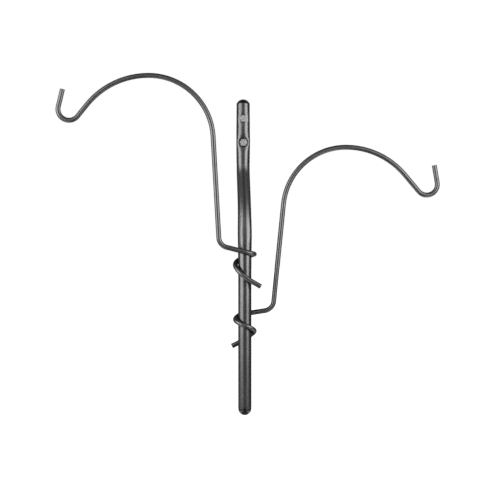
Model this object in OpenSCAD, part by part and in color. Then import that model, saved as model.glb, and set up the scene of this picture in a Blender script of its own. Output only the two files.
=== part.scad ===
// Wall-hung plant stand: a bent steel tube held by two lag screws carries two
// round-rod arms. Each arm is coiled once round the tube, grips it by canting
// under load, and swivels about it. The arms end in upturned hooks for planters.
//
// Frame: the wall is the plane y = 0 and the room is at y < 0. The origin lies
// on the wall, midway between the two screws. +Z is up, +X is to the right.

/* [Tube] */
// Outer diameter of the tube
tube_d = 25.4; // [22:0.1:32]
// Wall thickness of the tube
tube_wall = 1.6; // [1.2:0.1:2.5]
// Tube above the upper screw
tube_above_screw = 30; // [24:1:60]
// Straight tube between the lower screw and the upper bend
tube_below_screw = 39; // [28:1:60]
// Distance that the lower tube stands in front of the upper tube
stand_off = 62; // [45:1:90]
// Angle of the bends
bend_angle = 35; // [25:1:40]
// Centre-line radius of the upper bend
upper_bend_r = 50; // [30:1:60]
// Centre-line radius of the lower bend
lower_bend_r = 162; // [100:1:180]
// How far bending spread the lower bend sideways, on radius
lower_bend_oval = 0.5; // [0:0.1:0.8]
// Length of the straight lower tube that carries the arms
lower_len = 313.5; // [270:0.5:450]

/* [Screws] */
// Distance between the two screws
screw_spacing = 46; // [36:1:80]
// Thread diameter of the lag screws
screw_d = 7.94; // [6:0.01:9]
// Diameter of their plain shank, which rolled threads leave thinner
shank_d = 7.1; // [5.5:0.05:8]
// Length of the lag screws under the head
screw_len = 63.5; // [50:0.5:90]
// Width of the hexagon heads across their flats
head_flats = 12.7; // [11:0.1:14]
// Height of the hexagon heads
head_h = 5.4; // [4:0.1:7]
// Clearance of the threads in the tube's holes, on radius
hole_clear = 0.8; // [0.7:0.05:1.2]
// Depth of the flat under the upper head
upper_seat = 0.6; // [0.3:0.1:1]
// Depth of the dent that tightening pressed in under the lower head
lower_seat = 2.2; // [1.2:0.1:2.8]
// Pitch of the screw threads
thread_pitch = 3.6; // [2.5:0.1:4.5]
// Depth of the screw threads
thread_depth = 1; // [0.6:0.1:1.3]

/* [End caps] */
// Height of the flat dome on the top cap
top_dome_h = 8; // [5:0.5:12]
// Height of the straight band between the tube and the ball of the bottom cap
bottom_band = 1.2; // [0.4:0.1:4]
// Length of the plugs inside the tube
plug_len = 16; // [10:1:20]
// Clearance of the plug ribs in the tube, on radius
plug_clear = 0.05; // [0.02:0.01:0.1]
// Wall thickness of the plugs
plug_wall = 2; // [1.5:0.1:3]

/* [Rod arms] */
// Diameter of the rod
rod_d = 9.5; // [7:0.1:12]
// Gap between the tube and the coil round it
coil_clear = 0.5; // [0.4:0.1:1]
// Centre-line radius of the bend from the run to the upright
foot_bend_r = 20; // [15:1:25]
// Centre-line radius of the arch on the tube's side
arch_inner_r = 121; // [90:1:140]
// Centre-line radius of the arch on the hook's side
arch_outer_r = 149; // [110:1:170]
// Centre-line radius of the hooks
hook_r = 20.5; // [16:0.5:26]
// Chamfer on the cut ends of the rods
rod_chamfer = 0.8; // [0.3:0.1:1.5]

/* [Upper arm] */
// Height of the run's tangent point below the end of the tube's lower bend
upper_drop = 15.5; // [14:0.5:60]
// Length of the run from the coil outward
upper_run = 36; // [30:1:50]
// Rise of the run above the horizontal
upper_rise = 14; // [6:0.5:18]
// Length of the straight upright
upper_upright = 191; // [120:1:230]
// Lean of the upright away from the tube
upper_lean = 3.2; // [0:0.1:8]
// Slope at the end of the arch
upper_fall = 51.3; // [40:0.1:60]
// Straight length between the arch and the hook
upper_shank = 27; // [15:1:60]
// Lean of the hook's end back towards the tube
upper_tip_lean = 13.6; // [0:0.1:20]
// Straight length at the hook's end
upper_tip = 34; // [20:0.5:50]
// Slope of the coil's straight tail
upper_tail_slope = 30; // [20:0.5:36]
// Length of the coil's straight tail, measured across the tube
upper_tail = 29.5; // [16:0.5:34]

/* [Lower arm] */
// Height of the lower arm's tangent point below the upper arm's
lower_drop = 119.5; // [105:0.5:180]
// Length of the run from the coil outward
lower_run = 40; // [30:1:50]
// Rise of the run above the horizontal
lower_rise = 8.5; // [6:0.5:18]
// Length of the straight upright
lower_upright = 187.5; // [120:0.5:230]
// Lean of the upright away from the tube
lower_lean = 5.7; // [0:0.1:8]
// Slope at the end of the arch
lower_fall = 49.6; // [40:0.1:60]
// Straight length between the arch and the hook
lower_shank = 42; // [15:0.5:60]
// Lean of the hook's end back towards the tube
lower_tip_lean = 9.7; // [0:0.1:20]
// Straight length at the hook's end
lower_tip = 34; // [20:0.5:50]
// Slope of the coil's straight tail
lower_tail_slope = 26.5; // [20:0.5:36]
// Length of the coil's straight tail, measured across the tube
lower_tail = 24; // [16:0.5:34]

/* [Hidden] */
$fn = 64;

steel = "#4a4a4a";
zinc = "#b4b4b4";
black = "#1b1b1b";

tube_r = tube_d / 2;
bore_r = tube_r - tube_wall;
rod_r = rod_d / 2;
coil_r = tube_r + coil_clear + rod_r;
cut_over = 1; // how far a cut runs past a face

// Heights and depths along the tube's centre line
upper_screw_z = screw_spacing / 2;
lower_screw_z = -screw_spacing / 2;
top_z = upper_screw_z + tube_above_screw;
upper_y = -tube_r;
upper_bend_z = lower_screw_z - tube_below_screw;
incline_y = upper_y - upper_bend_r * (1 - cos(bend_angle));
incline_z = upper_bend_z - upper_bend_r * sin(bend_angle);
both_bends_r = upper_bend_r + lower_bend_r;
incline_len = (stand_off - both_bends_r * (1 - cos(bend_angle))) / sin(bend_angle);
lower_y = upper_y - stand_off;
lower_z = incline_z - incline_len * cos(bend_angle) - lower_bend_r * sin(bend_angle);
bottom_z = lower_z - lower_len;
tube_sides = 40; // facets round the bent middle
upper_bend_rings = 8;
lower_bend_rings = 12;
weld_inset = 0.02; // how far the bent middle's wall lies inside the straight walls

// Screws
head_r = head_flats / 2 / cos(30);
seat_r = head_r + 1;
seat_slope_r = seat_r + 4.5; // where the pressed dent runs out
screw_r = screw_d / 2;
shank_r = shank_d / 2;
hole_r = screw_r + hole_clear;
root_r = screw_r - thread_depth;
tip_len = 6;
thread_start = tube_d + 8; // from under the head to the first thread
thread_count = floor((screw_len - tip_len - thread_start) / thread_pitch);

// Rods
upper_arm_z = lower_z - upper_drop;
lower_arm_z = upper_arm_z - lower_drop;
rod_sides = 16;
bend_step = 8; // degrees between rings in the tight bends
arch_step = 6; // degrees between rings in the arch
coil_step = 9; // degrees between rings in the coils

// Slopes of the hand-bent coils at each eighth of their turn from the run
upper_bends = [10, 3, 16.5, 20, 24.5, 34, 39.5, 38.5];
lower_bends = [24, 17.5, 22.5, 21.5, 24, 21, 32.5, 35.5];

// ---- Tube ----

// A straight length of tube standing on height z at depth y
module straight_tube(y, z, h) {
    translate([0, y, z])
        difference() {
            cylinder(r = tube_r, h = h);
            translate([0, 0, -cut_over])
                cylinder(r = bore_r, h = h + 2 * cut_over);
        }
}

// Centre line of the bent middle as [y, z, tilt, spread], from the top down. Its
// ends reach into the straight lengths, where its wall lies inside theirs.
bend_line = concat(
    [[upper_y, upper_bend_z + cut_over, 0, 0]],
    [for (k = [0:upper_bend_rings])
        let (t = bend_angle * k / upper_bend_rings)
            [upper_y - upper_bend_r * (1 - cos(t)), upper_bend_z - upper_bend_r * sin(t), t, 0]],
    [for (k = [lower_bend_rings:-1:0])
        let (t = bend_angle * k / lower_bend_rings, part = 180 * k / lower_bend_rings)
            [lower_y + lower_bend_r * (1 - cos(t)), lower_z + lower_bend_r * sin(t), t,
             lower_bend_oval * pow(sin(part), 2)]],
    [[lower_y, lower_z - cut_over, 0, 0]]
);

// The bent middle, as a wall with an outer and an inner skin
module bent_tube() {
    n = tube_sides;
    last = len(bend_line) - 1;
    skin = n * len(bend_line);
    points = [for (r = [tube_r - weld_inset, bore_r + weld_inset]) for (ring = bend_line)
        for (j = [0:n - 1])
            let (a = 360 * j / n, across = (r + ring[3]) * cos(a), deep = (r - ring[3]) * sin(a))
                [across, ring[0] + deep * cos(ring[2]), ring[1] - deep * sin(ring[2])]];
    walls = [for (i = [0:last - 1]) for (j = [0:n - 1])
        let (a = i * n + j, b = i * n + (j + 1) % n)
            for (face = [
                [a, b, b + n], [a, b + n, a + n],
                [skin + a, skin + b + n, skin + b], [skin + a, skin + a + n, skin + b + n]
            ]) face];
    ends = [for (j = [0:n - 1])
        let (a = j, b = (j + 1) % n, c = last * n + a, d = last * n + b)
            for (face = [
                [a, skin + a, skin + b], [a, skin + b, b],
                [c, d, skin + d], [c, skin + d, skin + c]
            ]) face];
    polyhedron(points = points, faces = concat(walls, ends));
}

// Turns a shape drawn along +Z so that it points out of the tube's front, with
// its zero on the front of the tube at height z
module at_front(z) {
    translate([0, -tube_d, z])
        rotate([90, 0, 0])
            children();
}

// Profile of the pressed dent: flat under the head, then sloping out
module dent_cut(depth) {
    rotate_extrude()
        polygon([
            [0, -depth], [seat_r, -depth], [seat_slope_r, 0],
            [seat_slope_r, head_h], [0, head_h]
        ]);
}

// The dented wall itself, which bulges into the bore
module dent_wall(depth) {
    rotate_extrude()
        polygon([
            [0, -depth - tube_wall], [seat_r, -depth - tube_wall],
            [seat_slope_r, -tube_wall], [seat_slope_r, 0], [0, 0]
        ]);
}

// The upper length, dented and drilled for the screws
module screwed_tube() {
    difference() {
        union() {
            straight_tube(upper_y, upper_bend_z, top_z - upper_bend_z);
            intersection() {
                at_front(lower_screw_z)
                    dent_wall(lower_seat);
                translate([0, upper_y, upper_bend_z])
                    cylinder(r = tube_r, h = top_z - upper_bend_z);
            }
        }
        at_front(lower_screw_z)
            dent_cut(lower_seat);
        at_front(upper_screw_z)
            translate([0, 0, -upper_seat])
                cylinder(r = seat_r, h = head_h);
        for (z = [upper_screw_z, lower_screw_z])
            at_front(z)
                translate([0, 0, -tube_d - cut_over])
                    cylinder(r = hole_r, h = tube_d + 2 * cut_over);
    }
}

module main_tube() {
    color(steel) {
        screwed_tube();
        bent_tube();
        straight_tube(lower_y, bottom_z, lower_len);
    }
}

// ---- End caps ----

// Plug that fills the bore below z = 0, with two ribs that grip it
module plug() {
    rib_r = bore_r - plug_clear;
    core_r = rib_r - 0.6;
    rib_h = 2;
    difference() {
        rotate_extrude()
            polygon([
                [0, 0], [rib_r, 0], [rib_r, -rib_h], [core_r, -1.5 * rib_h],
                [core_r, rib_h - plug_len / 2], [rib_r, rib_h / 2 - plug_len / 2],
                [rib_r, -rib_h / 2 - plug_len / 2], [core_r, -rib_h - plug_len / 2],
                [core_r, 1 - plug_len], [core_r - 1, -plug_len], [0, -plug_len]
            ]);
        translate([0, 0, -plug_len - cut_over])
            cylinder(r = core_r - plug_wall, h = plug_len - plug_wall + cut_over);
    }
}

// Flat dome: a slice of a ball whose rim meets the tube's outside
module low_dome(h) {
    ball_r = (tube_r * tube_r + h * h) / (2 * h);
    intersection() {
        translate([0, 0, h - ball_r])
            sphere(r = ball_r, $fn = 96);
        cylinder(r = tube_r, h = h);
    }
}

module top_cap() {
    color(black)
        translate([0, upper_y, top_z]) {
            low_dome(top_dome_h);
            plug();
        }
}

module bottom_cap() {
    color(black)
        translate([0, lower_y, bottom_z])
            mirror([0, 0, 1]) {
                cylinder(r = tube_r, h = bottom_band);
                translate([0, 0, bottom_band])
                    intersection() {
                        sphere(r = tube_r, $fn = 96);
                        cylinder(r = tube_r, h = tube_r);
                    }
                plug();
            }
}

// ---- Screws ----

// Lag screw along -Z, its head's underside at z = 0
module lag_screw() {
    chamfer = head_h / 7;
    intersection() {
        cylinder(r = head_r, h = head_h, $fn = 6);
        rotate_extrude()
            polygon([
                [0, 0], [head_r, 0], [head_r, head_h - chamfer],
                [head_flats / 2 - chamfer / 2, head_h], [0, head_h]
            ]);
    }
    rotate_extrude()
        polygon(concat(
            [[0, 0], [shank_r, 0], [shank_r, -thread_start]],
            [for (i = [0:thread_count - 1])
                for (p = [[root_r, 0.45], [root_r, 0.7], [screw_r, 1]])
                    [p[0], -thread_start - (i + p[1]) * thread_pitch]],
            [[root_r, tip_len - screw_len], [0, -screw_len]]
        ));
}

module upper_screw() {
    color(zinc)
        at_front(upper_screw_z)
            translate([0, 0, -upper_seat])
                lag_screw();
}

module lower_screw() {
    color(zinc)
        at_front(lower_screw_z)
            translate([0, 0, -lower_seat])
                lag_screw();
}

// ---- Rod arms ----

// Walks a flat path of steps [straight length, turn, bend radius, ring step].
// Gives [point, heading] at each ring; a turn is positive to the left.
function walk(steps, at, heading, i = 0) =
    i == len(steps) ? [] :
    let (
        turn = steps[i][1],
        side = sign(turn),
        start = at + steps[i][0] * [cos(heading), sin(heading)],
        centre = start + side * steps[i][2] * [-sin(heading), cos(heading)],
        count = ceil(abs(turn) / steps[i][3]),
        arc = [for (k = [0:count])
            let (h = heading + turn * k / max(count, 1))
                [centre + side * steps[i][2] * [sin(h), -cos(h)], h]]
    )
    concat(arc, walk(steps, arc[count][0], heading + turn, i + 1));

// Slope along a coil as [degrees of turn, slope], from the run to its tail
function coil_slopes(rise, bends, tail_slope) =
    concat([[0, rise]], [for (i = [0:7]) [45 * (i + 1), bends[i]]], [[400, tail_slope]]);

// Height lost by the coil up to a turn. Its straight tail counts as turned on
function coil_fall(turn, slopes) =
    turn <= 0 ? 0 :
    let (back = max(turn - coil_step, 0))
    coil_fall(back, slopes)
        + (turn - back) * coil_r * PI / 180 * tan(lookup((turn + back) / 2, slopes));

// Turns of the rings from the end of the tail to the start of the coil
function coil_turns(tail) = concat(
    [360 + tail * 180 / PI / coil_r], [for (turn = [400:-10:370]) turn], [for (turn = [360:-coil_step:1]) turn]
);

// Centre line of an arm as [point, direction, sideways direction]. The run
// leaves the coil along +X, on the +Y side of the tube.
function coil_line(slopes, tail) =
    [for (turn = coil_turns(tail))
        let (a = 90 + min(turn, 360), past = max(turn - 360, 0) * coil_r * PI / 180)
            [[coil_r * cos(a) - past, coil_r * sin(a), -coil_fall(turn, slopes)],
             [sin(a), -cos(a), tan(lookup(turn, slopes))],
             [cos(a), sin(a), 0]]];

function arm_line(run, rise, upright, lean, fall, shank, tip_lean, tip) =
    [for (w = walk([
            [0, 0, 0, 1],
            [run, 90 - lean - rise, foot_bend_r, bend_step],
            [upright, lean - 90, arch_inner_r, arch_step],
            [0, -fall, arch_outer_r, arch_step],
            [shank, fall + 90 + tip_lean, hook_r, bend_step],
            [tip, 0, 0, 1]
        ], [0, 0], rise))
        [[w[0][0], coil_r, w[0][1]], [cos(w[1]), 0, sin(w[1])], [0, 1, 0]]];

// Drops a ring that stands on the one before it
function tidy(line) =
    [for (i = [0:len(line) - 1])
        if (i == 0 || norm(line[i][0] - line[max(i - 1, 0)][0]) > 0.01) line[i]];

function unit(v) = v / norm(v);

// Adds the two rings of each chamfered end
function with_ends(line) =
    let (
        first = line[0],
        last = line[len(line) - 1],
        inner = [for (i = [1:len(line) - 2]) concat(line[i], [rod_r])]
    )
    concat(
        [concat(first, [rod_r - rod_chamfer])],
        [[first[0] + rod_chamfer * unit(first[1]), first[1], first[2], rod_r]],
        inner,
        [[last[0] - rod_chamfer * unit(last[1]), last[1], last[2], rod_r]],
        [concat(last, [rod_r - rod_chamfer])]
    );

// Sweeps the round rod along rings of [point, direction, sideways, radius]
module sweep(rings) {
    n = rod_sides;
    points = [for (ring = rings)
        let (along = unit(ring[1]), across = unit(cross(along, ring[2])))
            for (j = [0:n - 1])
                ring[0] + ring[3] * (cos(360 * j / n) * ring[2] + sin(360 * j / n) * across)];
    sides = [for (i = [0:len(rings) - 2]) for (j = [0:n - 1])
        let (a = i * n + j, b = i * n + (j + 1) % n)
            for (face = [[a, a + n, b + n], [a, b + n, b]]) face];
    first_end = [for (j = [0:n - 1]) j];
    last_end = [for (j = [n - 1:-1:0]) (len(rings) - 1) * n + j];
    polyhedron(points = points, faces = concat(sides, [first_end, last_end]));
}

// Least gap between the coil's turns, measured over half a turn apart or more
function least_gap(line) =
    min([for (i = [0:len(line) - 1]) for (j = [i + 180 / coil_step:1:len(line) - 1])
        norm(line[i][0] - line[j][0])]) - rod_d;

module arm(run, rise, upright, lean, fall, shank, tip_lean, tip, bends, tail_slope, tail) {
    coil = coil_line(coil_slopes(rise, bends, tail_slope), tail);
    line = concat(coil, arm_line(run, rise, upright, lean, fall, shank, tip_lean, tip));
    echo(least_gap_in_coil = least_gap(concat(coil, [line[len(coil)]])));
    sweep(with_ends(tidy(line)));
}

// The upper arm points left, with its upright in front of the tube's axis
module upper_arm() {
    color(steel)
        translate([0, lower_y, upper_arm_z])
            rotate([0, 0, 180])
                arm(upper_run, upper_rise, upper_upright, upper_lean, upper_fall,
                    upper_shank, upper_tip_lean, upper_tip,
                    upper_bends, upper_tail_slope, upper_tail);
}

// The lower arm points right, with its upright behind the tube's axis
module lower_arm() {
    color(steel)
        translate([0, lower_y, lower_arm_z])
            arm(lower_run, lower_rise, lower_upright, lower_lean, lower_fall,
                lower_shank, lower_tip_lean, lower_tip,
                lower_bends, lower_tail_slope, lower_tail);
}

main_tube();
top_cap();
bottom_cap();
upper_screw();
lower_screw();
upper_arm();
lower_arm();
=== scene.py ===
"""Wall-hung plant stand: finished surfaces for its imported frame.

A bent steel tube, held by two lag screws, carries two round-rod arms that coil
round it and end in upturned hooks. The stand's lengths are millimetres, and its
meshes are written in metres; the studio's lengths are metres. The wall is the
plane y = 0 and the room is at y < 0.
"""

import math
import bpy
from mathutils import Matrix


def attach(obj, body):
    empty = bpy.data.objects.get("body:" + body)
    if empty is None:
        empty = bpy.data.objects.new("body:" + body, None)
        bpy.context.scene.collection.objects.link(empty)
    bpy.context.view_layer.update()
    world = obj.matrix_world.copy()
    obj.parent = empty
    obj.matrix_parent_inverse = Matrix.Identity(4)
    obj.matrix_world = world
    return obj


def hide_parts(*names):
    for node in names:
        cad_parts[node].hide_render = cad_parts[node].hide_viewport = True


bl_info = {
    "name": "Wall plant stand",
    "version": (1, 0, 0),
    "blender": (4, 5, 0),
    "location": "3D View > Sidebar > Plant stand",
    "description": "Builds a wall-hung plant stand with two swivelling rod arms",
    "category": "Add Mesh",
}

import bmesh
import bpy
from bpy.props import FloatProperty, FloatVectorProperty, PointerProperty
from bpy.types import Operator, Panel, PropertyGroup
from mathutils import Matrix, Vector

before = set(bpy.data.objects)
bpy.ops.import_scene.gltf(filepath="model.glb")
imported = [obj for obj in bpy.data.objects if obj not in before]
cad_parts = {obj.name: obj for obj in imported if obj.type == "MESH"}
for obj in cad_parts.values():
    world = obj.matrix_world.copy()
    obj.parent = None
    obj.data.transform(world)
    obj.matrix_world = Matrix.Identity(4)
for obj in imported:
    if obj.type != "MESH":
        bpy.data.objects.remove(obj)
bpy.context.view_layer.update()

MM = 0.001
# Layer that holds the rods' surface coordinates: along the rod, and round it
SURFACE_UV = "surface_mm"

# The tube's centre line: an upper length on the wall, two bends with a straight
# incline between them, and a lower length that stands off from the wall
TOP_Z = 53.0
UPPER_Y = -12.7
UPPER_BEND_Z = -62.0
STAND_OFF = 62.0
BEND_ANGLE = math.radians(35)
UPPER_BEND_R = 50.0
LOWER_BEND_R = 162.0
LOWER_LEN = 313.5
LOWER_Y = UPPER_Y - STAND_OFF
INCLINE_LEN = (
    STAND_OFF - (UPPER_BEND_R + LOWER_BEND_R) * (1 - math.cos(BEND_ANGLE))
) / math.sin(BEND_ANGLE)
LOWER_Z = (
    UPPER_BEND_Z
    - (UPPER_BEND_R + LOWER_BEND_R) * math.sin(BEND_ANGLE)
    - INCLINE_LEN * math.cos(BEND_ANGLE)
)
BOTTOM_Z = LOWER_Z - LOWER_LEN
# Rounding of the tube's two ends
TUBE_EDGE = 0.4
# How far bending has spread the tube sideways, where, and over what length
BEND_SPREAD = 0.75
SPREAD_Z = -198
SPREAD_LEN = 30

# Lag screws: heights and radius of their holes, depth of the upper head's flat
SCREW_Z = (23.0, -23.0)
HOLE_R = 4.77
UPPER_SEAT = 0.6
# Share of the lower head's dent that is its steep-edged pit
PIT_SHARE = 0.4
# Length below the head, where on it the thread starts, and the thread's pitch
SCREW_LEN = 63.5
THREAD_START = 33.4
THREAD_PITCH = 3.6
# Radii of the plain shank, and of the thread's root and crest
SHANK_R = 3.55
ROOT_R = 2.95
CREST_R = 3.97

# End caps: clearance of their ribs in the bore, height of the band under the ball
PLUG_CLEAR = 0.05
CAP_BAND = 1.2

# Rod arms: z is the height at which the run leaves the coil, turned arms point left,
# lengths are in mm and angles in degrees. bends are the coil's slopes after each 45
# degrees of its turn
ARMS = {
    "upper_arm": {
        "z": LOWER_Z - 15.5, "turned": True, "run": 36.0, "rise": 14.0, "upright": 191.0,
        "lean": 3.2, "fall": 51.3, "shank": 27.0, "tip_lean": 13.6, "tip": 34.0, "tail": 29.5,
        "bends": (10, 3, 16.5, 20, 24.5, 34, 39.5, 38.5), "tail_slope": 30.0,
    },
    "lower_arm": {
        "z": LOWER_Z - 135.0, "turned": False, "run": 40.0, "rise": 8.5, "upright": 187.5,
        "lean": 5.7, "fall": 49.6, "shank": 42.0, "tip_lean": 9.7, "tip": 34.0, "tail": 24.0,
        "bends": (24, 17.5, 22.5, 21.5, 24, 21, 32.5, 35.5), "tail_slope": 26.5,
    },
}
# Play between the tube and the coils, then the radii of the bends
COIL_CLEAR = 0.5
FOOT_R = 20.0
ARCH_INNER_R = 121.0
ARCH_OUTER_R = 149.0
HOOK_R = 20.5
# A filed end's rings: distance from the end, and how much thinner the rod is
FILED_END = ((0.0, 0.75), (0.12, 0.35), (0.4, 0.08), (0.8, 0.0))


def linear(hex_colour):
    """An sRGB hex colour as linear red, green and blue."""
    parts = [int(hex_colour[i : i + 2], 16) / 255 for i in (1, 3, 5)]
    return tuple(c / 12.92 if c <= 0.04045 else ((c + 0.055) / 1.055) ** 2.4 for c in parts)


class PlantStandSizes(PropertyGroup):
    """Sizes that a maker would change."""

    tube_d: FloatProperty(
        name="Tube diameter", description="Outer diameter of the bent tube",
        default=0.0254, min=0.02, max=0.035, unit="LENGTH", precision=5,
    )
    tube_wall: FloatProperty(
        name="Tube wall", description="Wall thickness of the bent tube",
        default=0.0016, min=0.001, max=0.003, unit="LENGTH", precision=5,
    )
    rod_d: FloatProperty(
        name="Rod diameter", description="Diameter of the two arms' round rod",
        default=0.0095, min=0.006, max=0.012, unit="LENGTH", precision=5,
    )
    head_flats: FloatProperty(
        name="Screw head", description="Width of the hexagon heads across their flats",
        default=0.0127, min=0.01, max=0.016, unit="LENGTH", precision=5,
    )
    head_h: FloatProperty(
        name="Head height", description="Height of the hexagon heads",
        default=0.0054, min=0.004, max=0.008, unit="LENGTH", precision=5,
    )
    top_dome_h: FloatProperty(
        name="Top cap height", description="Height of the flat dome on the tube's top",
        default=0.008, min=0.004, max=0.0127, unit="LENGTH", precision=5,
    )
    dent_depth: FloatProperty(
        name="Dent depth", description="How deep the lower screw's head has pressed the tube's front in",
        default=0.0022, min=0.0, max=0.003, unit="LENGTH", precision=5,
    )


class PlantStandColours(PropertyGroup):
    """Colours of the finishes."""

    coat: FloatVectorProperty(
        name="Coat", description="Graphite powder coat on the tube and the arms",
        subtype="COLOR", size=3, min=0, max=1, default=linear("#5b5b5b"),
    )
    zinc: FloatVectorProperty(
        name="Zinc", description="Zinc plating of the screws",
        subtype="COLOR", size=3, min=0, max=1, default=linear("#a4a4a4"),
    )
    cap: FloatVectorProperty(
        name="Cap", description="Black moulded plastic of the end caps",
        subtype="COLOR", size=3, min=0, max=1, default=linear("#0f0f0f"),
    )
    floor: FloatVectorProperty(
        name="Floor", description="Plain pale floor under the stand",
        subtype="COLOR", size=3, min=0, max=1, default=linear("#f2f2f2"),
    )


# ---- Small helpers ----


def mm(value):
    """A property's metres as millimetres."""
    return value / MM


def smooth_step(t):
    """0 up to t = 0, 1 from t = 1, and a smooth S between."""
    t = min(max(t, 0.0), 1.0)
    return t * t * (3 - 2 * t)


def make_object(name, verts, faces, material, body, node, sharp=35, uvs=None):
    """A mesh piece of the stand that takes a frame node's place. verts are mm."""
    mesh = bpy.data.meshes.new(name)
    mesh.from_pydata([Vector(v) * MM for v in verts], [], faces)
    if uvs:
        layer = mesh.uv_layers.new(name=SURFACE_UV)
        for loop in mesh.loops:
            layer.data[loop.index].uv = uvs[loop.vertex_index]
    tidy = bmesh.new()
    tidy.from_mesh(mesh)
    bmesh.ops.recalc_face_normals(tidy, faces=tidy.faces)
    tidy.to_mesh(mesh)
    tidy.free()
    mesh.polygons.foreach_set("use_smooth", [True] * len(mesh.polygons))
    mesh.set_sharp_from_angle(angle=math.radians(sharp))
    mesh.materials.append(material)
    piece = bpy.data.objects.new(name, mesh)
    bpy.context.scene.collection.objects.link(piece)
    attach(piece, body)
    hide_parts(node)
    return piece


def ring_faces(first, second, count):
    """Quads between two rings of count points that start at first and second."""
    return [
        (first + j, first + (j + 1) % count, second + (j + 1) % count, second + j)
        for j in range(count)
    ]


def lathe(profile, sides, place, down=False):
    """Points and faces of a profile [radius, height] turned about a vertical axis.

    The profile starts and ends on the axis. With down, it hangs from its place.
    """
    flip = -1 if down else 1
    verts, faces = [], []
    for r, h in profile[1:-1]:
        for j in range(sides):
            a = math.tau * j / sides
            verts.append((place[0] + r * math.cos(a), place[1] + r * math.sin(a), place[2] + flip * h))
    rings = len(profile) - 2
    for i in range(rings - 1):
        faces += ring_faces(i * sides, (i + 1) * sides, sides)
    for pole, ring in ((profile[0], 0), (profile[-1], rings - 1)):
        verts.append((place[0], place[1], place[2] + flip * pole[1]))
        hub = len(verts) - 1
        faces += [(hub, ring * sides + j, ring * sides + (j + 1) % sides) for j in range(sides)]
    return verts, faces


def arc_points(centre, radius, start, end, count):
    """Points of an arc in a flat profile, angles in degrees."""
    out = []
    for k in range(count + 1):
        a = math.radians(start + (end - start) * k / count)
        out.append((centre[0] + radius * math.cos(a), centre[1] + radius * math.sin(a)))
    return out


# ---- Materials ----


def add_node(tree, kind, settings=None, links=None):
    """Adds one node. settings sets its fields and inputs, links feeds its inputs."""
    node = tree.nodes.new(kind)
    for key, value in (settings or {}).items():
        if isinstance(key, str) and hasattr(node, key):
            setattr(node, key, value)
        else:
            node.inputs[key].default_value = value
    for key, source in (links or {}).items():
        tree.links.new(source, node.inputs[key])
    return node


def new_material(name):
    """A material with its node tree and its Principled shader."""
    material = bpy.data.materials.new(name)
    material.use_nodes = True
    return material, material.node_tree, material.node_tree.nodes["Principled BSDF"]


def with_alpha(colour, gain=1.0):
    """A colour made gain times as bright, for a node's colour socket."""
    return (*[min(c * gain, 1.0) for c in colour], 1.0)


def graphite_powder_coat(colours, name, smooth, rough, lay):
    """Metal-flake powder coat, baked on steel.

    The flakes give it a metal's grey sheen; the melted powder leaves a faint
    orange peel, so the edges of reflections waver. With lay, the grinding marks
    round the bar show through and draw the highlights out along it.
    """
    material, tree, shader = new_material(name)
    shader.inputs["Metallic"].default_value = 0.92
    # The clear binder over the flakes keeps it dark at a glancing look
    shader.inputs["Specular Tint"].default_value = (0.3, 0.3, 0.3, 1)
    if lay:
        shader.inputs["Anisotropic"].default_value = lay
        along = add_node(
            tree, "ShaderNodeTangent", {"direction_type": "UV_MAP", "uv_map": SURFACE_UV},
        )
        tree.links.new(along.outputs["Tangent"], shader.inputs["Tangent"])
    place = add_node(tree, "ShaderNodeTexCoord")
    # Orange peel: cells about 2.8 mm across
    peel = add_node(
        tree, "ShaderNodeTexNoise", {"Scale": 1 / 0.0028, "Detail": 2.0, "Roughness": 0.45},
        {"Vector": place.outputs["Object"]},
    )
    # Flakes: real ones are 0.05 mm, drawn ten times as coarse so that they show
    flakes = add_node(
        tree, "ShaderNodeTexVoronoi", {"Scale": 1 / 0.0006},
        {"Vector": place.outputs["Object"]},
    )
    # Uneven film build-up over some 25 mm
    film = add_node(
        tree, "ShaderNodeTexNoise", {"Scale": 1 / 0.025, "Detail": 3.0},
        {"Vector": place.outputs["Object"]},
    )
    spots = add_node(tree, "ShaderNodeValToRGB", {}, {"Fac": flakes.outputs["Color"]})
    spots.color_ramp.elements[0].position = 0.2
    spots.color_ramp.elements[0].color = with_alpha(colours.coat, 0.9)
    spots.color_ramp.elements[1].position = 0.85
    spots.color_ramp.elements[1].color = with_alpha(colours.coat, 1.1)
    cloud = add_node(
        tree, "ShaderNodeMapRange", {"From Min": 0.3, "From Max": 0.7, "To Min": 0.9, "To Max": 1.08},
        {"Value": film.outputs["Fac"]},
    )
    tint = add_node(
        tree, "ShaderNodeMix", {"data_type": "RGBA", "blend_type": "MULTIPLY", "Factor": 1.0},
    )
    tree.links.new(spots.outputs["Color"], tint.inputs["A"])
    tree.links.new(cloud.outputs["Result"], tint.inputs["B"])
    tree.links.new(tint.outputs["Result"], shader.inputs["Base Color"])
    gloss = add_node(
        tree, "ShaderNodeMapRange",
        {"From Min": 0.3, "From Max": 0.7, "To Min": smooth, "To Max": rough},
        {"Value": peel.outputs["Fac"]},
    )
    tree.links.new(gloss.outputs["Result"], shader.inputs["Roughness"])
    bump = add_node(
        tree, "ShaderNodeBump", {"Strength": 0.3, "Distance": 0.00012},
        {"Height": peel.outputs["Fac"]},
    )
    tree.links.new(bump.outputs["Normal"], shader.inputs["Normal"])
    return material


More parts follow.
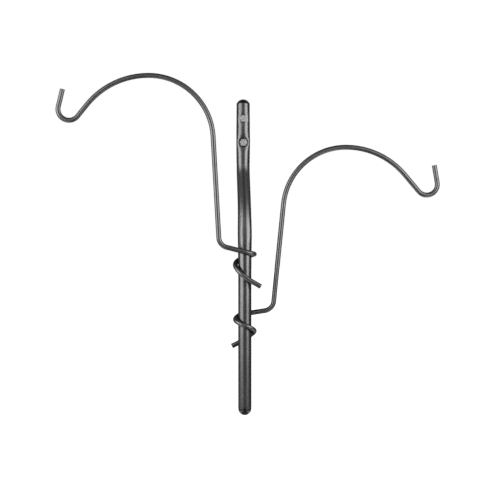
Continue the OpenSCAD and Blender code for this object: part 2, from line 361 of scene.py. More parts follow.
def zinc_plate(colours):
    """Zinc-plated forged steel.

    Forged, then barrel-plated: dull bright, with a fine mottle and soft
    highlights that light up from almost any side.
    """
    material, tree, shader = new_material("zinc_plated_steel_forged")
    shader.inputs["Metallic"].default_value = 1.0
    place = add_node(tree, "ShaderNodeTexCoord")
    mottle = add_node(
        tree, "ShaderNodeTexNoise", {"Scale": 1 / 0.0016, "Detail": 4.0, "Roughness": 0.6},
        {"Vector": place.outputs["Object"]},
    )
    tone = add_node(tree, "ShaderNodeValToRGB", {}, {"Fac": mottle.outputs["Fac"]})
    tone.color_ramp.elements[0].position = 0.3
    tone.color_ramp.elements[0].color = with_alpha(colours.zinc, 0.8)
    tone.color_ramp.elements[1].position = 0.7
    tone.color_ramp.elements[1].color = with_alpha(colours.zinc, 1.12)
    tree.links.new(tone.outputs["Color"], shader.inputs["Base Color"])
    dull = add_node(
        tree, "ShaderNodeMapRange", {"From Min": 0.3, "From Max": 0.7, "To Min": 0.5, "To Max": 0.62},
        {"Value": mottle.outputs["Fac"]},
    )
    tree.links.new(dull.outputs["Result"], shader.inputs["Roughness"])
    bump = add_node(
        tree, "ShaderNodeBump", {"Strength": 0.6, "Distance": 0.0001},
        {"Height": mottle.outputs["Fac"]},
    )
    tree.links.new(bump.outputs["Normal"], shader.inputs["Normal"])
    return material


def moulded_polyethylene(colours):
    """Black polyethylene, injection moulded.

    The eroded mould leaves a fine grain: semi-gloss, nearly black, with a
    soft sheen.
    """
    material, tree, shader = new_material("black_polyethylene_moulded")
    shader.inputs["IOR"].default_value = 1.5
    place = add_node(tree, "ShaderNodeTexCoord")
    # Mould grain: 0.1 mm on the real one, drawn at 0.5 mm so that it shows
    grain = add_node(
        tree, "ShaderNodeTexNoise", {"Scale": 1 / 0.0005, "Detail": 2.0},
        {"Vector": place.outputs["Object"]},
    )
    tone = add_node(tree, "ShaderNodeValToRGB", {}, {"Fac": grain.outputs["Fac"]})
    tone.color_ramp.elements[0].position = 0.35
    tone.color_ramp.elements[0].color = with_alpha(colours.cap, 0.75)
    tone.color_ramp.elements[1].position = 0.65
    tone.color_ramp.elements[1].color = with_alpha(colours.cap, 1.3)
    tree.links.new(tone.outputs["Color"], shader.inputs["Base Color"])
    gloss = add_node(
        tree, "ShaderNodeMapRange", {"From Min": 0.3, "From Max": 0.7, "To Min": 0.16, "To Max": 0.24},
        {"Value": grain.outputs["Fac"]},
    )
    tree.links.new(gloss.outputs["Result"], shader.inputs["Roughness"])
    bump = add_node(
        tree, "ShaderNodeBump", {"Strength": 0.4, "Distance": 0.00005},
        {"Height": grain.outputs["Fac"]},
    )
    tree.links.new(bump.outputs["Normal"], shader.inputs["Normal"])
    return material


def finish_named(name, build, *finish):
    """The material if it is there already, or a new one."""
    found = bpy.data.materials.get(name)
    return found or build(bpy.context.scene.plant_stand_colours, *finish)


def tube_coat():
    """The coat on drawn tube, which is smooth."""
    name = "graphite_powder_coat_on_drawn_tube"
    return finish_named(name, graphite_powder_coat, name, 0.22, 0.29, 0.0)


def rod_coat():
    """The coat on ground bar, whose grinding marks run round it."""
    name = "graphite_powder_coat_on_ground_bar"
    return finish_named(name, graphite_powder_coat, name, 0.23, 0.29, 0.75)


def zinc():
    """The screws' plating."""
    return finish_named("zinc_plated_steel_forged", zinc_plate)


def plastic():
    """The caps' plastic."""
    return finish_named("black_polyethylene_moulded", moulded_polyethylene)


# ---- Main tube ----


def fade(distance, start, length):
    """1 up to start, then smoothly down to 0 over length."""
    return 1 - smooth_step((distance - start) / length)


def bell(distance, width):
    """1 at distance 0, about a third at width, and 0 far beyond."""
    return math.exp(-((distance / width) ** 2))


def press(z, sizes):
    """What tightening the screws did at height z: (depth, squareness, spread).

    The heads have flattened the front and pushed the sides out, most round the
    lower one. A fade is full up to its first length in mm from the screw, and runs
    out over its second.
    """
    above, below = z - SCREW_Z[0], z - SCREW_Z[1]
    dent = (1 - PIT_SHARE) * mm(sizes.dent_depth)
    depth = UPPER_SEAT * fade(abs(above), 7.5, 7)
    depth += dent * (0.55 * fade(abs(below), 7, 5) + 0.45 * fade(abs(below), 7, 15))
    square = 0.35 * fade(abs(above), 4, 7) + fade(abs(below), 4, 8) + 0.4 * fade(abs(below), 6.5, 16)
    return depth, square, 0.043 * bell(below, 36) + 0.014 * bell(above, 40)


def upper_skin_point(radius, angle, z, sizes):
    """Point of a skin of the upper length; angle 0 is its front."""
    depth, square, spread = press(z, sizes)
    sine, cosine = math.sin(angle), math.cos(angle)
    wide = radius * (1 + spread)
    if cosine <= 0:
        return (wide * sine, UPPER_Y - radius * cosine, z)
    power = 2 + square
    deep = radius - depth
    reach = (abs(sine / wide) ** power + (cosine / deep) ** power) ** (-1 / power)
    # The lower head has sunk on into a round pit with a steep edge
    from_head = math.hypot(reach * sine, z - SCREW_Z[1])
    pit = PIT_SHARE * mm(sizes.dent_depth) * fade(from_head, 7.5, 1.9)
    return (reach * sine, UPPER_Y - reach * cosine + pit, z)


def tube_stations():
    """Centre line below the upper length as (y, z, tilt, spread)."""
    upper_rings, incline_rings, lower_rings = 16, 6, 36
    out = []
    for k in range(1, upper_rings + 1):
        t = BEND_ANGLE * k / upper_rings
        y = UPPER_Y - UPPER_BEND_R * (1 - math.cos(t))
        out.append((y, UPPER_BEND_Z - UPPER_BEND_R * math.sin(t), t))
    y, z, t = out[-1]
    for k in range(1, incline_rings):
        down = INCLINE_LEN * k / incline_rings
        out.append((y - down * math.sin(t), z - down * math.cos(t), t))
    for k in range(lower_rings, -1, -1):
        t = BEND_ANGLE * k / lower_rings
        y = LOWER_Y + LOWER_BEND_R * (1 - math.cos(t))
        out.append((y, LOWER_Z + LOWER_BEND_R * math.sin(t), t))
    # Rings down the lower length, closer together at its two ends
    down_by = (2, 5, 9, 14, 20, 30, 45, 65, *range(90, 271, 30), 295, 308, 312)
    out += [(LOWER_Y, LOWER_Z - s, 0.0) for s in (*down_by, LOWER_LEN - TUBE_EDGE)]
    return [(y, z, t, BEND_SPREAD * bell(z - SPREAD_Z, SPREAD_LEN)) for y, z, t in out]


def upper_heights():
    """Heights of the upper length's rings, closer together round the screws."""
    fine, coarse, reach = 0.6, 1.6, 11
    heights = [TOP_Z - TUBE_EDGE]
    while heights[-1] - coarse > UPPER_BEND_Z:
        near_screw = min(abs(heights[-1] - fine - z) for z in SCREW_Z) < reach
        heights.append(heights[-1] - (fine if near_screw else coarse))
    return [*heights, UPPER_BEND_Z]


def skin_points(radius, heights, stations, angles, sizes):
    """Rings of the tube's outer or inner skin, from the top down."""
    verts = []
    for z in heights:
        verts += [upper_skin_point(radius, a, z, sizes) for a in angles]
    for y, z, tilt, spread in stations:
        for a in angles:
            # Spread sideways, the tube is flatter, and most so in front
            flatter = spread * (2.0 if math.cos(a) > 0 else 0.6)
            front = (radius - flatter) * math.cos(a)
            across = (radius + spread) * math.sin(a)
            verts.append((across, y - front * math.cos(tilt), z + front * math.sin(tilt)))
    return verts


def steel_tube(sizes):
    """Points and faces of the bent tube."""
    sides = 96
    tube_r = mm(sizes.tube_d) / 2
    bore_r = tube_r - mm(sizes.tube_wall)
    heights, stations = upper_heights(), tube_stations()
    angles = [math.tau * j / sides for j in range(sides)]
    verts = skin_points(tube_r, heights, stations, angles, sizes)
    skin = len(verts)
    verts += skin_points(bore_r, heights, stations, angles, sizes)
    rings = skin // sides

    # Holes for the screws: leave out the cells over each hole in both skins
    over_hole = {
        i * sides + j
        for i, z in enumerate(heights)
        for j, a in enumerate(angles)
        if min(math.hypot(bore_r * math.sin(a), z - zc) for zc in SCREW_Z) < HOLE_R + 0.1
    }
    faces, uses = [], {}
    for i in range(rings - 1):
        for cell in ring_faces(i * sides, (i + 1) * sides, sides):
            if over_hole.isdisjoint(cell):
                faces.append(cell)
                faces.append(tuple(skin + c for c in reversed(cell)))
                continue
            for pair in zip(cell, (*cell[1:], cell[0])):
                pair = tuple(sorted(pair))
                uses[pair] = uses.get(pair, 0) + 1
    # A hole's rim has the edges that only one left-out cell uses. Pull its corners
    # onto the hole and wall it through the tube
    rim = [pair for pair, count in uses.items() if count == 1]
    for corner in {c for pair in rim for c in pair}:
        x, y, z = verts[corner]
        back = y > UPPER_Y
        zc = min(SCREW_Z, key=lambda s: abs(z - s))
        reach = math.hypot(x, z - zc)
        x, z = HOLE_R * x / reach, zc + HOLE_R * (z - zc) / reach
        for base, radius in ((0, tube_r), (skin, bore_r)):
            angle = math.asin(x / radius)
            angle = math.pi - angle if back else angle
            verts[base + corner] = (x, upper_skin_point(radius, angle, z, sizes)[1], z)
    faces += [(a, b, skin + b, skin + a) for a, b in rim]

    # Rounded ends
    for ring, y, end_z, up in ((0, UPPER_Y, TOP_Z, 1), (rings - 1, LOWER_Y, BOTTOM_Z, -1)):
        first = len(verts)
        for radius, drop in ((tube_r - 0.12, 0.12), (tube_r - TUBE_EDGE, 0.0), (bore_r + 0.15, 0.0)):
            for a in angles:
                verts.append((radius * math.sin(a), y - radius * math.cos(a), end_z - up * drop))
        chain = [ring * sides, first, first + sides, first + 2 * sides, skin + ring * sides]
        for p, q in zip(chain, chain[1:]):
            faces += ring_faces(p, q, sides)
    # Leave out the points that no face uses, those over the holes
    used = sorted({c for f in faces for c in f})
    number = {c: n for n, c in enumerate(used)}
    return [verts[c] for c in used], [tuple(number[c] for c in f) for f in faces]


class PLANTSTAND_OT_main_tube(Operator):
    """Make the bent steel tube with its dents and screw holes"""

    bl_idname = "plantstand.main_tube"
    bl_label = "Main tube"

    def execute(self, context):
        verts, faces = steel_tube(context.scene.plant_stand_sizes)
        make_object("steel_tube", verts, faces, tube_coat(), "frame", "main_tube", 50)
        return {"FINISHED"}


# ---- End caps ----


def plug_profile(bore_r):
    """Stem of a cap below its rim, down to its hollow underside."""
    rib = bore_r - PLUG_CLEAR
    core = rib - 0.6
    return [
        (rib, -0.2), (rib, -2.0), (core, -3.0), (core, -7.0), (rib, -7.8), (rib, -9.2), (core, -10.0),
        (core, -15.0), (core - 0.4, -15.7), (core - 1.0, -16.0), (core - 1.8, -16.0), (core - 2.0, -15.8),
        (core - 2.0, -2.4), (core - 2.4, -2.0), (0.0, -2.0),
    ]


class PLANTSTAND_OT_end_caps(Operator):
    """Make the two moulded plugs in the tube's ends"""

    bl_idname = "plantstand.end_caps"
    bl_label = "End caps"

    def execute(self, context):
        sizes = context.scene.plant_stand_sizes
        tube_r = mm(sizes.tube_d) / 2
        bore_r = tube_r - mm(sizes.tube_wall)
        dome_h = mm(sizes.top_dome_h)
        # Rim that rests on the tube's end, and the stem in its bore
        rim = [(tube_r - 0.12, 0.18), (tube_r - 0.4, 0.03), (bore_r + 0.2, 0.02)]
        seat = rim + plug_profile(bore_r)
        ball_r = (tube_r**2 + dome_h**2) / (2 * dome_h)
        reach = math.degrees(math.asin(tube_r / ball_r))
        dome = arc_points((0, dome_h - ball_r), ball_r, 90, 90 - reach + 2.6, 16)
        top = dome[:-1] + [(tube_r - 0.35, 0.95), (tube_r - 0.05, 0.45)] + seat
        # Below, a half ball with the mark of its moulding gate at the middle
        low = CAP_BAND + tube_r
        gate = [(0.0, low - 0.12), (0.8, low - 0.12), (0.95, low - 0.04)]
        ball = arc_points((0, CAP_BAND), tube_r, 84, 0, 20)
        bottom = gate + ball + [(tube_r, 0.6)] + seat
        for name, profile, place, down in (
            ("cap_top", top, (0, UPPER_Y, TOP_Z), False),
            ("cap_bottom", bottom, (0, LOWER_Y, BOTTOM_Z), True),
        ):
            verts, faces = lathe(profile, 72, place, down)
            node = "bottom_cap" if down else "top_cap"
            make_object(name, verts, faces, plastic(), "frame", node, 40)
        return {"FINISHED"}


# ---- Lag screws ----


def screw_ring(z, turn, radii, depths):
    """Ring of points round a screw's axis at height z, each at its own depth."""
    return [(r * math.sin(a), y, z + r * math.cos(a)) for a, r, y in zip(turn, radii, depths)]


def screw_head(sizes, z, front, turn):
    """Rings of the hexagon head, from its seat at front to its face."""
    flats = mm(sizes.head_flats) / 2
    head_h = mm(sizes.head_h)
    crown = flats - 0.35
    slope = math.tan(math.radians(30))
    soft = 0.18
    # Corners of the hexagon point left and right
    corners = [flats / math.cos((a + math.pi / 6) % (math.pi / 3) - math.pi / 6) for a in turn]
    tops = [head_h - max(c - crown, 0.0) * slope for c in corners]
    rings = []
    for inset, up in ((soft, 0.0), (soft * 0.3, soft * 0.3), (0.0, soft)):
        rings.append(([c - inset for c in corners], [front - up for _ in turn]))
    for inset, below in ((0.0, soft), (soft * 0.35, 0.02)):
        rings.append(([c - inset for c in corners], [front - top + below for top in tops]))
    # The turned chamfer runs from the corners up to the round face
    for share in (0.25, 0.5, 0.75):
        radii = [crown + (c - crown) * (1 - share) for c in corners]
        rings.append((radii, [front - top - (head_h - top) * share for top in tops]))
    for r in (crown, crown - 0.4, crown * 0.5, 0.6):
        rings.append(([r for _ in turn], [front - head_h for _ in turn]))
    return [screw_ring(z, turn, radii, depths) for radii, depths in rings]


def screw_shank(z, front, turn):
    """Rings of the shank and its thread, from the head's seat to the point."""
    thread_from, end = front + THREAD_START, front + SCREW_LEN
    plain = [(SHANK_R + 0.5, front), (SHANK_R, front + 0.5)]
    y = front + 4.0
    while y < thread_from:
        plain.append((SHANK_R, y))
        y += 6.0
    rings = [screw_ring(z, turn, [r for _ in turn], [y for _ in turn]) for r, y in plain]
    # The thread's crest winds round the core with the pitch
    steps = 132
    for k in range(steps + 1):
        y = thread_from + (end - thread_from) * k / steps
        to_tip = end - y
        core = min(SHANK_R + (ROOT_R - SHANK_R) * smooth_step(k / 10), 0.12 + to_tip * 0.42)
        height = max(min(CREST_R, 0.3 + to_tip * 0.62) - core, 0.0)
        grow = smooth_step(k / 14)
        radii = []
        for a in turn:
            phase = ((y - thread_from) / THREAD_PITCH - a / math.tau) % 1.0
            ridge = max(0.0, 1 - abs(phase - 0.5) / 0.26)
            radii.append(core + height * ridge * grow)
        rings.append(screw_ring(z, turn, radii, [y for _ in turn]))
    return rings


def lag_screw(sizes, z, seat):
    """Points and faces of a lag screw whose axis is +Y at height z."""
    sides = 72
    turn = [math.tau * j / sides for j in range(sides)]
    front = seat - mm(sizes.tube_d)
    head = screw_head(sizes, z, front, turn)
    shank = screw_shank(z, front, turn)
    verts = [point for ring in head + shank for point in ring]
    # First points of the head's face, of the ring under the head and of the tip
    face = (len(head) - 1) * sides
    neck = face + sides
    tip = face + len(shank) * sides
    faces = []
    for first in range(0, face, sides):
        faces += ring_faces(first, first + sides, sides)
    faces.append(tuple(face + j for j in range(sides)))
    faces += ring_faces(0, neck, sides)
    for first in range(neck, tip, sides):
        faces += ring_faces(first, first + sides, sides)
    faces.append(tuple(tip + j for j in range(sides)))
    return verts, faces


class PLANTSTAND_OT_lag_screws(Operator):
    """Make the two zinc-plated lag screws"""

    bl_idname = "plantstand.lag_screws"
    bl_label = "Lag screws"

    def execute(self, context):
        sizes = context.scene.plant_stand_sizes
        for node, z, seat in (
            ("upper_screw", SCREW_Z[0], UPPER_SEAT),
            ("lower_screw", SCREW_Z[1], mm(sizes.dent_depth)),
        ):
            verts, faces = lag_screw(sizes, z, seat)
            make_object("lag_" + node, verts, faces, zinc(), "frame", node, 32)
        return {"FINISHED"}


# ---- Rod arms ----


def flat_walk(steps, rise, degrees_per_ring):
    """Walks (straight, turn, bend radius) steps in the arm's plane.

    Gives (x, z, heading) at each ring, with a ring every 12 mm of the straights.
    """
    spacing = 12
    at, heading = Vector((0.0, 0.0)), math.radians(rise)
    out = []
    for straight, turn, radius in steps:
        ahead = Vector((math.cos(heading), math.sin(heading)))
        for s in range(1, int(straight / spacing) + 1):
            near = at + ahead * min(spacing * s, straight - 0.5)
            out.append((near.x, near.y, heading))
        at = at + ahead * straight
        if not turn:
            out.append((at.x, at.y, heading))
            continue
        side = 1 if turn > 0 else -1
        centre = at + side * radius * Vector((-math.sin(heading), math.cos(heading)))
        count = max(int(abs(turn) / degrees_per_ring), 2)
        for k in range(count + 1):
            h = heading + math.radians(turn) * k / count
            point = centre + side * radius * Vector((math.sin(h), -math.cos(h)))
            out.append((point.x, point.y, h))
        at, heading = point, heading + math.radians(turn)
    return out


def arm_line(q, coil_r):
    """Centre line of an arm as (point, direction, sideways), tail first."""
    marks = [45 * n for n in range(9)] + [400, 720]
    slopes = [q["rise"], *q["bends"], q["tail_slope"], q["tail_slope"]]

    def slope(turn):
        """Slope of the coil after so many degrees; its tail counts as turned on."""
        n = sum(turn >= mark for mark in marks)
        share = (turn - marks[n - 1]) / (marks[n] - marks[n - 1])
        return math.tan(math.radians(slopes[n - 1] + share * (slopes[n] - slopes[n - 1])))

    coil_rings, tail_rings = 96, 10
    end = 360 + math.degrees(q["tail"] / coil_r)
    turns = [360 * k / coil_rings for k in range(1, coil_rings + 1)]
    turns += [360 + (end - 360) * k / tail_rings for k in range(1, tail_rings + 1)]
    out, fall, last = [], 0.0, 0.0
    for turn in turns:
        fall += coil_r * math.radians(turn - last) * slope((turn + last) / 2)
        last = turn
        a = math.radians(90 + min(turn, 360))
        past = coil_r * math.radians(max(turn - 360, 0))
        out.insert(0, (
            Vector((coil_r * math.cos(a) - past, coil_r * math.sin(a), -fall)),
            Vector((math.sin(a), -math.cos(a), slope(turn))),
            Vector((math.cos(a), math.sin(a), 0)),
        ))
    steps = [
        (0, 0, 0),
        (q["run"], 90 - q["lean"] - q["rise"], FOOT_R),
        (q["upright"], q["lean"] - 90, ARCH_INNER_R),
        (0, -q["fall"], ARCH_OUTER_R),
        (q["shank"], q["fall"] + 90 + q["tip_lean"], HOOK_R),
        (q["tip"], 0, 0),
    ]
    for x, z, h in flat_walk(steps, q["rise"], 4):
        out.append((Vector((x, coil_r, z)), Vector((math.cos(h), 0, math.sin(h))), Vector((0, 1, 0))))
    return out


def rod(line, rod_r, sides=32):
    """Points, faces and surface coordinates of a round rod with filed ends."""
    kept = [line[0]]
    for item in line[1:]:
        if (item[0] - kept[-1][0]).length > 0.05:
            kept.append(item)
    first, last = kept[0], kept[-1]
    rings = []
    for back, inset in FILED_END:
        rings.append((first[0] + back * first[1].normalized(), first[1], first[2], rod_r - inset))
    rings += [(p, d, s, rod_r) for p, d, s in kept[1:-1]]
    for back, inset in reversed(FILED_END):
        rings.append((last[0] - back * last[1].normalized(), last[1], last[2], rod_r - inset))
    verts, uvs, faces, along = [], [], [], 0.0
    for n, (point, direction, sideways, radius) in enumerate(rings):
        if n:
            along += (point - rings[n - 1][0]).length
        across = direction.normalized().cross(sideways).normalized()
        for j in range(sides):
            a = math.tau * j / sides
            verts.append(point + radius * (math.cos(a) * sideways + math.sin(a) * across))
            uvs.append((along, rod_r * a))
    for n in range(len(rings) - 1):
        faces += ring_faces(n * sides, (n + 1) * sides, sides)
    last_ring = (len(rings) - 1) * sides
    faces.append(tuple(range(sides)))
    faces.append(tuple(last_ring + j for j in reversed(range(sides))))
    return verts, faces, uvs


class PLANTSTAND_OT_rod_arms(Operator):
    """Make the two coiled rod arms with their hooks"""

    bl_idname = "plantstand.rod_arms"
    bl_label = "Rod arms"

    def execute(self, context):
        sizes = context.scene.plant_stand_sizes
        rod_r = mm(sizes.rod_d) / 2
        coil_r = mm(sizes.tube_d) / 2 + COIL_CLEAR + rod_r
        for node, q in ARMS.items():
            verts, faces, uvs = rod(arm_line(q, coil_r), rod_r)
            side = -1 if q["turned"] else 1
            verts = [(side * v.x, LOWER_Y + side * v.y, q["z"] + v.z) for v in verts]
            make_object("rod_" + node, verts, faces, rod_coat(), node, node, 50, uvs)
        return {"FINISHED"}


# ---- Studio, in metres ----

FLOOR_Z = -1.05
FLOOR_HALF = 20.0
GROUND_Z = FLOOR_Z + 0.002
WALL_R = 2.4
WALL_TOP = 1.6
ROOF_TOP = 2.4
SOFTBOX_CLOTH_R = 1.6
# The lamps: how far off they are, their height, and the point that they light
LAMP_FAR = 1.1
LAMP_HIGH = 1.14
LAMP_AIM = (0, -0.07, 0.05)
# The camera: the height that it looks at in mm, how far it is turned to the right
# and down, how far off it is, and how far it is moved to its right
CAMERA_AIM_Z = -229.65
CAMERA_TURN = math.radians(3.2)
CAMERA_DOWN = math.radians(1.5)
CAMERA_FAR = 2.8
CAMERA_RIGHT = 0.00988
# Focal length in pixels of a square frame, and half the frame's width
FOCAL_PX = 1471.8
HALF_FRAME_PX = 250


def shown_background(tree):
    """1 for the rays that see the background: camera, glossy and transmission."""
    path = add_node(tree, "ShaderNodeLightPath")
    both = add_node(tree, "ShaderNodeMath", {"operation": "ADD"})
    tree.links.new(path.outputs["Is Camera Ray"], both.inputs[0])
    tree.links.new(path.outputs["Is Glossy Ray"], both.inputs[1])
    every = add_node(tree, "ShaderNodeMath", {"operation": "ADD", "use_clamp": True})
    tree.links.new(both.outputs[0], every.inputs[0])
    tree.links.new(path.outputs["Is Transmission Ray"], every.inputs[1])
    return every.outputs[0]


def plain_floor(colours):
    """Matt white-painted floor: white where it is seen, and it keeps the shadow."""
    material, tree, shader = new_material("matt_white_floor_paint")
    shader.inputs["Base Color"].default_value = with_alpha(colours.floor)
    shader.inputs["Roughness"].default_value = 0.9
    shader.inputs["Specular IOR Level"].default_value = 0.1
    seen = shown_background(tree)
    # The lamps light the floor near the stand; further off it is lifted to white
    place = add_node(tree, "ShaderNodeTexCoord")
    far = add_node(tree, "ShaderNodeVectorMath", {"operation": "LENGTH"}, {0: place.outputs["Object"]})
    rise = add_node(
        tree, "ShaderNodeMapRange", {"From Min": 0.8, "From Max": 2.2, "To Min": 0.0, "To Max": 0.8},
        {"Value": far.outputs["Value"]},
    )
    lift = add_node(
        tree, "ShaderNodeMath", {"operation": "MULTIPLY"}, {0: seen, 1: rise.outputs["Result"]},
    )
    shader.inputs["Emission Color"].default_value = (1, 1, 1, 1)
    tree.links.new(lift.outputs[0], shader.inputs["Emission Strength"])
    return material


def glowing_cloth():
    """Cloth of the studio's walls and softboxes, as bright as its corners' levels."""
    material = bpy.data.materials.get("glowing_cloth")
    if material:
        return material
    material, tree, shader = new_material("glowing_cloth")
    tree.nodes.remove(shader)
    level = add_node(tree, "ShaderNodeAttribute", {"attribute_name": "level"})
    glow = add_node(
        tree, "ShaderNodeEmission", {"Color": (1, 1, 1, 1)}, {"Strength": level.outputs["Fac"]},
    )
    tree.links.new(glow.outputs[0], tree.nodes["Material Output"].inputs["Surface"])
    return material


def stage_mesh(name, verts, faces, material):
    """A mesh of the studio, which isn't part of the stand."""
    mesh = bpy.data.meshes.new(name)
    mesh.from_pydata(verts, [], faces)
    mesh.materials.append(material)
    piece = bpy.data.objects.new(name, mesh)
    bpy.context.scene.collection.objects.link(piece)
    return piece


def cloth_piece(name, start, end, drop, profile):
    """A cloth from start to end degrees; profile is its (radius, height, level, cut).

    drop is the share of its level that it has lost at its two ends, and cut how
    many degrees a ring falls short of the cloth's end.
    """
    count = max(int((end - start) / 5), 2)
    verts, faces, levels = [], [], []
    for k in range(count + 1):
        share = k / count
        for r, z, level, cut in profile:
            a = math.radians(start + (end - cut - start) * share - 90)
            verts.append((r * math.cos(a), r * math.sin(a), z))
            levels.append(level * (1 - drop * (2 * share - 1) ** 2))
    rows = len(profile)
    for k in range(count):
        for n in range(k * rows, (k + 1) * rows - 1):
            faces.append((n, n + rows, n + rows + 1, n + 1))
    cloth = stage_mesh("cloth_" + name, verts, faces, glowing_cloth())
    layer = cloth.data.attributes.new("level", "FLOAT", "POINT")
    layer.data.foreach_set("value", levels)
    for ray in ("camera", "diffuse", "shadow", "transmission"):
        setattr(cloth, "visible_" + ray, False)


def softbox(name, side, azimuth, width, radiance):
    """A lamp on the left (-1) or right (1), azimuth degrees from the camera's side."""
    a = math.radians(azimuth)
    x, y, z = LAMP_AIM
    spot = (side * LAMP_FAR * math.sin(a), y - LAMP_FAR * math.cos(a), z)
    light = bpy.data.lights.new(name, "AREA")
    light.shape = "RECTANGLE"
    light.size, light.size_y = width, LAMP_HIGH
    light.energy = radiance * math.pi * width * LAMP_HIGH
    lamp = bpy.data.objects.new(name, light)
    lamp.location = spot
    lamp.rotation_mode = "QUATERNION"
    lamp.rotation_quaternion = (Vector(LAMP_AIM) - Vector(spot)).to_track_quat("-Z", "Y")
    # Reflections show the softboxes' cloths instead
    lamp.visible_camera = lamp.visible_glossy = False
    bpy.context.scene.collection.objects.link(lamp)


def studio_world():
    """Plain fill light, and white wherever the background is seen."""
    world = bpy.data.worlds.new("plain_studio")
    bpy.context.scene.world = world
    world.use_nodes = True
    tree = world.node_tree
    tree.nodes.clear()
    seen = shown_background(tree)
    fill = add_node(tree, "ShaderNodeBackground", {"Color": (1, 1, 1, 1), "Strength": 0.45})
    white = add_node(tree, "ShaderNodeBackground", {"Color": (1, 1, 1, 1), "Strength": 1.0})
    pick = add_node(
        tree, "ShaderNodeMixShader", {}, {0: seen, 1: fill.outputs[0], 2: white.outputs[0]},
    )
    out = add_node(tree, "ShaderNodeOutputWorld")
    tree.links.new(pick.outputs[0], out.inputs["Surface"])


def studio_camera():
    """The camera, where the photograph was taken from."""
    ahead = Vector((
        math.sin(CAMERA_TURN) * math.cos(CAMERA_DOWN),
        math.cos(CAMERA_TURN) * math.cos(CAMERA_DOWN),
        -math.sin(CAMERA_DOWN),
    ))
    right = Vector((math.cos(CAMERA_TURN), -math.sin(CAMERA_TURN), 0))
    data = bpy.data.cameras.new("camera")
    data.sensor_width = 36
    data.lens = data.sensor_width / 2 * FOCAL_PX / HALF_FRAME_PX
    data.clip_start, data.clip_end = 0.05, 100
    camera = bpy.data.objects.new("camera", data)
    place = Vector((0, LOWER_Y, CAMERA_AIM_Z)) * MM - CAMERA_FAR * ahead + CAMERA_RIGHT * right
    turned = Matrix((right, right.cross(ahead), -ahead)).transposed().to_4x4()
    camera.matrix_world = Matrix.Translation(place) @ turned
    bpy.context.scene.collection.objects.link(camera)
    bpy.context.scene.camera = camera


# Rows of the softboxes' cloths: height, level of the left and of the right one, and
# how many degrees the right one falls short of its far end
SOFTBOX_ROWS = (
    (-0.83, 0.1, 0.1, 15), (-0.68, 0.4, 0.3, 15), (-0.6, 1.4, 1.1, 15), (-0.51, 3.4, 3.1, 14),
    (-0.315, 4.9, 4.9, 13), (-0.145, 5.3, 5.3, 6), (0.05, 5.2, 5.2, 0), (0.37, 4.8, 4.8, 0),
    (0.59, 3.8, 3.8, 0), (0.76, 3.0, 2.7, 0), (0.95, 2.2, 1.9, 0), (1.17, 1.5, 1.2, 0),
    (1.39, 1.0, 0.8, 0), (1.8, 0.4, 0.3, 0),
)


def wall_cloth(*rows):
    """Profile of a wall from its rows of (height, level)."""
    return [(WALL_R, z, level, 0) for z, level in rows]


def ground_cloth(*rows):
    """Profile of a cloth on the floor from its rows of (radius, level)."""
    return [(r, GROUND_Z, level, 0) for r, level in rows]


def roof_cloth(edge, slope, top, middle):
    """Profile of a roof that rises from the walls' top, from its rows' levels."""
    rows = ((WALL_R, WALL_TOP, edge), (1.0, 2.2, slope), (0.3, 2.35, top), (0.02, ROOF_TOP, middle))
    return [(*row, 0) for row in rows]


ROOF_BACK = [
    (WALL_R, WALL_TOP, 0.3, 0), (1.6, 1.9, 0.1, 0), (1.0, 2.2, 0.03, 0), (0.02, ROOF_TOP, 0.02, 0),
]
# Cloths round the stand, which only reflections see: name, from and to angle,
# fall of level to both ends, profile. Angle 0 is the camera's side
CLOTHS = (
    (
        "softbox_left", -86, -28.7, 0.35,
        [(SOFTBOX_CLOTH_R, z, left, 0) for z, left, _, _ in SOFTBOX_ROWS],
    ),
    (
        "softbox_right", 25.7, 79, 0.35,
        [(SOFTBOX_CLOTH_R, z, right, cut) for z, _, right, cut in SOFTBOX_ROWS],
    ),
    ("front", -35, 35, 0, wall_cloth((FLOOR_Z, 0.25), (0.25, 0.3), (0.5, 0.85), (1.1, 0.6), (WALL_TOP, 0.2))),
    ("left", -145, -35, 0, wall_cloth((FLOOR_Z, 0.28), (0.5, 0.28), (WALL_TOP, 0.6))),
    ("right", 35, 145, 0, wall_cloth((FLOOR_Z, 0.14), (0.5, 0.14), (WALL_TOP, 0.5))),
    ("back", 145, 215, 0, wall_cloth((FLOOR_Z, 1.2), (0.9, 1.2), (WALL_TOP, 0.4))),
    ("roof_left", -95, -28, 0, roof_cloth(0.7, 0.6, 0.05, 0.02)),
    ("roof_front", -28, 28, 0, roof_cloth(0.25, 0.12, 0.03, 0.02)),
    ("roof_right", 28, 95, 0, roof_cloth(0.6, 0.55, 0.05, 0.02)),
    ("roof_back", 95, 265, 0, ROOF_BACK),
    (
        "ground_left", -160, -30, 0,
        ground_cloth((WALL_R, 0.25), (1.0, 0.7), (0.55, 2.7), (0.4, 0.3), (0.16, 0.1)),
    ),
    ("ground_front", -30, 30, 0, ground_cloth((WALL_R, 0.25), (0.6, 0.15), (0.16, 0.1))),
    (
        "ground_right", 30, 160, 0,
        ground_cloth((WALL_R, 0.25), (1.0, 0.7), (0.55, 3.0), (0.4, 0.3), (0.16, 0.1)),
    ),
    ("ground_back", 160, 200, 0, ground_cloth((WALL_R, 0.5), (0.6, 0.4), (0.4, 0.1), (0.16, 0.1))),
    ("ground_middle", -180, 180, 0, ground_cloth((0.16, 0.1), (0.12, 0.7), (0.02, 1.0), (0.001, 1.0))),
)
# Softboxes: name, side, degrees from the camera's side, width, radiance
SOFTBOXES = (
    ("softbox_left", -1, 57, 1.07, 3.6),
    ("softbox_right", 1, 53, 1.12, 3.4),
)


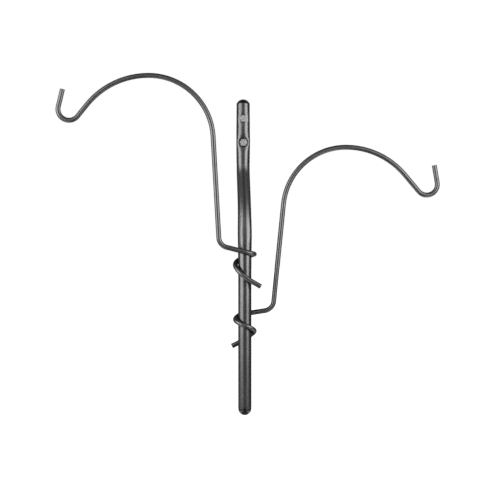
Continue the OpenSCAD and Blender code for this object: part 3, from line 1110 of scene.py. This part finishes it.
class PLANTSTAND_OT_studio(Operator):
    """Make the floor, the lamps, the world and the camera"""

    bl_idname = "plantstand.studio"
    bl_label = "Studio"

    def execute(self, context):
        context.scene.view_settings.view_transform = "Standard"
        studio_camera()
        studio_world()
        half = FLOOR_HALF
        square = ((-half, -half), (half, -half), (half, half), (-half, half))
        corners = [(x, y, FLOOR_Z) for x, y in square]
        floor_paint = plain_floor(context.scene.plant_stand_colours)
        stage_mesh("floor", corners, [(0, 1, 2, 3)], floor_paint)
        for cloth in CLOTHS:
            cloth_piece(*cloth)
        for lamp in SOFTBOXES:
            softbox(*lamp)
        return {"FINISHED"}


# ---- Sidebar panel ----


class PLANTSTAND_PT_panel(Panel):
    """Sizes, colours and the pieces in the order they are made"""

    bl_idname = "PLANTSTAND_PT_panel"
    bl_label = "Plant stand"
    bl_space_type = "VIEW_3D"
    bl_region_type = "UI"
    bl_category = "Plant stand"

    def draw(self, context):
        scene = context.scene
        for group in (scene.plant_stand_sizes, scene.plant_stand_colours):
            box = self.layout.box()
            for name in group.__annotations__:
                box.prop(group, name)
        for maker in OPERATORS:
            self.layout.operator(maker.bl_idname)


OPERATORS = (
    PLANTSTAND_OT_main_tube,
    PLANTSTAND_OT_end_caps,
    PLANTSTAND_OT_lag_screws,
    PLANTSTAND_OT_rod_arms,
    PLANTSTAND_OT_studio,
)
CLASSES = (PlantStandSizes, PlantStandColours, *OPERATORS, PLANTSTAND_PT_panel)


def register():
    for cls in CLASSES:
        bpy.utils.register_class(cls)
    bpy.types.Scene.plant_stand_sizes = PointerProperty(type=PlantStandSizes)
    bpy.types.Scene.plant_stand_colours = PointerProperty(type=PlantStandColours)


def unregister():
    del bpy.types.Scene.plant_stand_colours
    del bpy.types.Scene.plant_stand_sizes
    for cls in reversed(CLASSES):
        bpy.utils.unregister_class(cls)


def main():
    register()
    bpy.ops.plantstand.main_tube()
    bpy.ops.plantstand.end_caps()
    bpy.ops.plantstand.lag_screws()
    bpy.ops.plantstand.rod_arms()
    bpy.ops.plantstand.studio()


if __name__ == "__main__":
    main()
